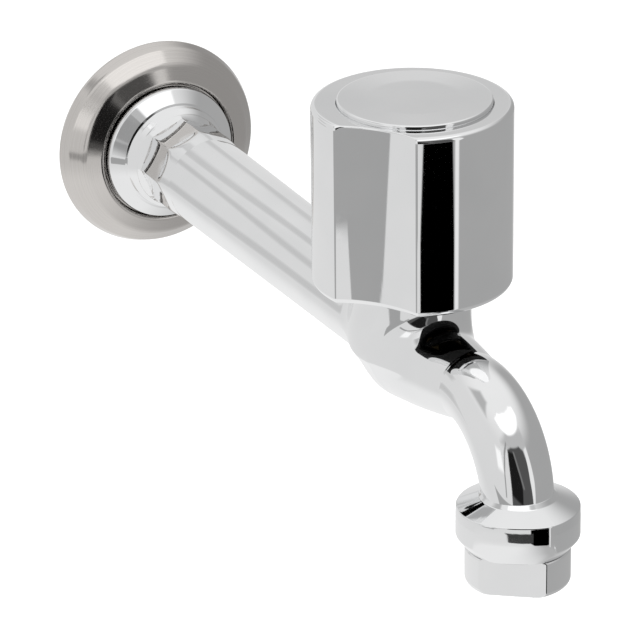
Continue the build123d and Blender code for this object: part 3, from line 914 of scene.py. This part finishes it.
def makeCamera():
    data = bpy.data.cameras.new("camera")
    data.lens = camera["lens"]
    data.sensor_width = camera["sensor"]
    data.sensor_fit = "HORIZONTAL"
    data.clip_start = camera["clipStart"]
    data.clip_end = camera["clipEnd"]
    obj = bpy.data.objects.new("camera", data)
    a = math.radians(camera["azimuth"])
    e = math.radians(camera["elevation"])
    back = Vector((math.sin(a) * math.cos(e), -math.cos(a) * math.cos(e), math.sin(e)))
    right = Vector((math.cos(a), math.sin(a), 0))
    up = back.cross(right)
    c = math.cos(math.radians(camera["roll"]))
    s = math.sin(math.radians(camera["roll"]))
    right, up = right * c + up * s, up * c - right * s
    matrix = Matrix((right, up, back)).transposed().to_4x4()
    matrix.translation = Vector(camera["place"])
    obj.matrix_world = matrix
    bpy.context.scene.collection.objects.link(obj)
    bpy.context.scene.camera = obj


makeCamera()


# Surroundings. The camera sees white. The chrome sees a room round it: a pale wall on the left,
# a grey one on the right, a bright ceiling, and the dark corner where the camera stands.

room = {
    "centre": (0.0, -0.1, 0.0), "cameraTurn": -116.576, "radius": 2.4, "around": 96, "up": 48,
    "leftLevel": 0.78, "rightLevel": 0.41, "topLevel": 0.92, "lowLevel": 0.92,
    "sideFade": (0.10, 0.45), "lowFade": (-0.1, 0.5), "lowSideLevel": 0.5,
    "floorFade": (-0.62, -0.36), "ceilingFade": (0.45, 0.9),
    "floorZ": -0.22, "floorSize": 8.0, "floorGlow": 0.45, "floorGrain": 3.0, "floorDarker": 0.78,
    "floorLighter": 0.8, "diffuseLevel": 0.75, "finestStep": 0.4, "widestStep": 1.5,
    "lampSize": 1.2, "lampPower": 9.0, "lampPlace": (-0.3, -0.5, 1.5), "lampAim": (0, -0.1, 0),
}

# Each card: corners as (degrees to the right of the camera, degrees up), how bright, how soft
# its edge is in degrees, and how far away it stands.

cards = {
    "paleBand": ([(-30, 34), (-10, 50), (20, 56), (60, 50), (56, 30)], 0.55, 10.0, 2.3),
    "thinPost": ([(-33, -10), (-31, 10), (-24, 28), (-14, 40), (-12, 38), (-21, 26), (-28, 9), (-30, -10)],
                 0.35, 1.5, 2.25),
    "darkCorner": ([(-15, -16), (-14, 20), (-12, 33), (0, 37), (30, 39), (41, 34), (48, 12), (53, -16)],
                   0.09, 2.5, 2.2),
    "darkCamera": ([(-13, -5), (-13, 20), (-9, 32), (6, 33), (13, 20), (18, 2), (16, -12)],
                   0.012, 3.0, 2.1),
    "paleStreak": ([(4, 34), (10, 20), (20, 2), (24, 2), (15, 20), (9, 34)], 0.2, 2.0, 2.05),
    "blackDrape": ([(8, -21), (14, -18), (42, -17), (46.5, -21), (45.5, -28), (38, -30), (14, -30),
                    (8.5, -27)], 0.0, 0.6, 2.0),
    "collarShade": ([(-8, -22.4), (15, -21.2), (15, -23.4), (6, -24.0), (-4, -24.0)], 0.05, 0.3, 0.341),
    "brightStrip": ([(45, 34), (43, 8), (47.5, -17), (47, -32), (50.5, -32), (52.5, -17), (56, 5), (55, 34)],
                    0.9, 2.0, 1.95),
    "softbox": ([(-40, 53), (-30, 64), (0, 70), (40, 72), (75, 70), (90, 63), (80, 56), (50, 52), (0, 48),
                 (-25, 49)], 1.25, 3.0, 1.9),
    "leftLamp": ([(-46, 6), (-46, 22), (-33, 24), (-31, 8)], 1.1, 5.0, 1.85),
    "nearPanel": ([(-60, -13.5), (-7, -13.5), (-7, -17.4), (-17, -17.6), (-20, -20), (-24, -22.2),
                   (-40, -22.2), (-49, -20)], 0.40, 0.5, 0.55),
    "armBandA": ([(-128, -16), (-112, -16), (-112, -5), (-128, -5)], 0.62, 5.0, 1.75),
    "armBandB": ([(-131, 14), (-115, 14), (-115, 22), (-131, 22)], 0.62, 5.0, 1.75),
    "armBandC": ([(-151, 28), (-141, 28), (-141, 42), (-151, 42)], 0.64, 5.0, 1.75),
    "armBandD": ([(172, 20), (190, 20), (190, 28), (172, 28)], 0.64, 5.0, 1.75),
    "greyPatch": ([(-100, 40), (-92, 60), (-66, 60), (-62, 40)], 0.5, 9.0, 1.8),
}


# How far inside a polygon a point is, in its own units.

def insideDistance(x, y, corners):
    count = len(corners)
    best = np.full(x.shape, 1e9)
    odd = np.zeros(x.shape, bool)
    for i in range(count):
        ax, ay = corners[i]
        bx, by = corners[(i + 1) % count]
        length = (bx - ax) ** 2 + (by - ay) ** 2
        along = np.clip(((x - ax) * (bx - ax) + (y - ay) * (by - ay)) / length, 0, 1)
        best = np.minimum(best, np.hypot(x - ax - along * (bx - ax), y - ay - along * (by - ay)))
        crosses = (ay > y) != (by > y)
        where = ax + (y - ay) * (bx - ax) / (by - ay if by != ay else 1e-9)
        odd ^= crosses & (x < where)
    return np.where(odd, best, -best)


def onlyReflected(obj):
    obj.visible_camera = False
    obj.visible_diffuse = False
    obj.visible_transmission = False
    obj.visible_shadow = False


def emptyTree(owner):
    owner.use_nodes = True
    owner.node_tree.nodes.clear()
    return owner.node_tree


def glowMaterial(name, level):
    material = bpy.data.materials.new(name)
    tree = emptyTree(material)
    glow = addNode(tree, "ShaderNodeEmission", {"Color": (level, level, level, 1)})
    clear = addNode(tree, "ShaderNodeBsdfTransparent")
    cover = addNode(tree, "ShaderNodeAttribute", attribute_name="cover")
    mix = addNode(tree, "ShaderNodeMixShader", {
        "Fac": cover.outputs["Fac"], 1: clear.outputs["BSDF"], 2: glow.outputs["Emission"]})
    addNode(tree, "ShaderNodeOutputMaterial", {"Surface": mix.outputs["Shader"]})
    return material


def makeCard(name, corners, level, soft, distance):
    az, el = zip(*corners)
    step = min(room["widestStep"], max(room["finestStep"], soft / 3))
    wide = np.linspace(min(az) - soft, max(az) + soft, int((max(az) - min(az) + 2 * soft) / step) + 2)
    tall = np.linspace(min(el) - soft, max(el) + soft, int((max(el) - min(el) + 2 * soft) / step) + 2)
    a, e = np.meshgrid(wide, tall)
    cover = fade(insideDistance(a, e, corners), -soft / 2, soft / 2)
    turn = np.radians(a + room["cameraTurn"])
    rise = np.radians(np.clip(e, -89, 89))
    spots = np.stack([np.cos(rise) * np.cos(turn), np.cos(rise) * np.sin(turn), np.sin(rise)], 2) * distance
    spots = (spots + np.array(room["centre"])).reshape(-1, 3)
    across = len(wide)
    faces = [(j * across + i, j * across + i + 1, (j + 1) * across + i + 1, (j + 1) * across + i)
             for j in range(len(tall) - 1) for i in range(across - 1)]
    obj = makeObject(name, spots / mm, faces, glowMaterial(name, level))
    layer = obj.data.attributes.new("cover", "FLOAT", "POINT")
    layer.data.foreach_set("value", cover.ravel().astype(np.float32))
    onlyReflected(obj)


def makeShell():
    around, up, radius = room["around"], room["up"], room["radius"]
    a = np.radians(np.arange(around) * 360 / around)
    e = np.radians(np.linspace(-89.5, 89.5, up))
    ring = [np.stack([np.cos(t) * np.cos(a), np.cos(t) * np.sin(a), 0 * a + math.sin(t)], 1) for t in e]
    material = bpy.data.materials.new("roomShell")
    obj = makeObject("roomShell", np.concatenate(ring) * radius / mm, ringFaces(up, around, False), material)
    tree = emptyTree(material)
    place = addNode(tree, "ShaderNodeTexCoord").outputs["Object"]
    turn = math.radians(room["cameraTurn"] + 90)

    def along(*way):
        return addNode(tree, "ShaderNodeVectorMath", {0: place, 1: way},
                       operation="DOT_PRODUCT").outputs["Value"]

    def ramp(source, start, end, low, high):
        return addNode(tree, "ShaderNodeMapRange", {
            "Value": source, "From Min": start, "From Max": end, "To Min": low, "To Max": high},
            interpolation_type="SMOOTHSTEP").outputs["Result"]

    side = along(math.cos(turn) / radius, math.sin(turn) / radius, 0)
    height = along(0, 0, 1 / radius)
    wall = ramp(side, *room["sideFade"], room["leftLevel"], room["rightLevel"])
    low = ramp(side, *room["lowFade"], room["lowLevel"], room["lowSideLevel"])
    lower = ramp(height, *room["floorFade"], low, wall)
    level = ramp(height, *room["ceilingFade"], lower, room["topLevel"])
    glow = addNode(tree, "ShaderNodeEmission", {"Strength": level})
    addNode(tree, "ShaderNodeOutputMaterial", {"Surface": glow.outputs["Emission"]})
    onlyReflected(obj)


def makeWorld():
    world = bpy.data.worlds.new("whiteBackground")
    bpy.context.scene.world = world
    tree = emptyTree(world)
    pale, white = [addNode(tree, "ShaderNodeBackground", {"Color": (level, level, level, 1)})
                   for level in (room["diffuseLevel"], 1)]
    mix = addNode(tree, "ShaderNodeMixShader", {
        "Fac": seenDirectly(tree), 1: pale.outputs["Background"], 2: white.outputs["Background"]})
    addNode(tree, "ShaderNodeOutputWorld", {"Surface": mix.outputs["Shader"]})


# 1 for camera, glossy and transmission rays.

def seenDirectly(tree):
    path = addNode(tree, "ShaderNodeLightPath").outputs
    total = path["Is Camera Ray"]
    for other in ("Is Glossy Ray", "Is Transmission Ray"):
        total = addNode(tree, "ShaderNodeMath", {0: total, 1: path[other]}, operation="MAXIMUM").outputs[0]
    return total


def makeFloor():
    half = room["floorSize"] / 2
    z = room["floorZ"]
    spots = [(-half, -half, z), (half, -half, z), (half, half, z), (-half, half, z)]
    material, tree, shader, place = newMaterial("paleFloor")
    grain = noiseInto(tree, place, room["floorGrain"])
    tinted(tree, grain, shader, (room["floorDarker"],) * 3, (room["floorLighter"],) * 3)
    for name, value in (("Roughness", 1.0), ("Specular IOR Level", 0.0), ("Emission Color", (1, 1, 1, 1))):
        shader.inputs[name].default_value = value
    gain = addNode(tree, "ShaderNodeMath", {0: seenDirectly(tree), 1: room["floorGlow"]},
                   operation="MULTIPLY")
    tree.links.new(gain.outputs[0], shader.inputs["Emission Strength"])
    floor = makeObject("studioFloor", np.array(spots) / mm, [(0, 1, 2, 3)], material)
    floor.visible_glossy = False


def makeLamp():
    data = bpy.data.lights.new("softLamp", "AREA")
    data.shape = "SQUARE"
    data.size = room["lampSize"]
    data.energy = room["lampPower"]
    lamp = bpy.data.objects.new("softLamp", data)
    lamp.location = room["lampPlace"]
    lamp.rotation_euler = (Vector(room["lampAim"]) - lamp.location).to_track_quat("-Z", "Y").to_euler()
    lamp.visible_glossy = False
    bpy.context.scene.collection.objects.link(lamp)


makeWorld()
makeFloor()
makeLamp()
makeShell()
for name, values in cards.items():
    makeCard(name, *values)
bpy.context.scene.view_settings.view_transform = "Standard"
print("room made")
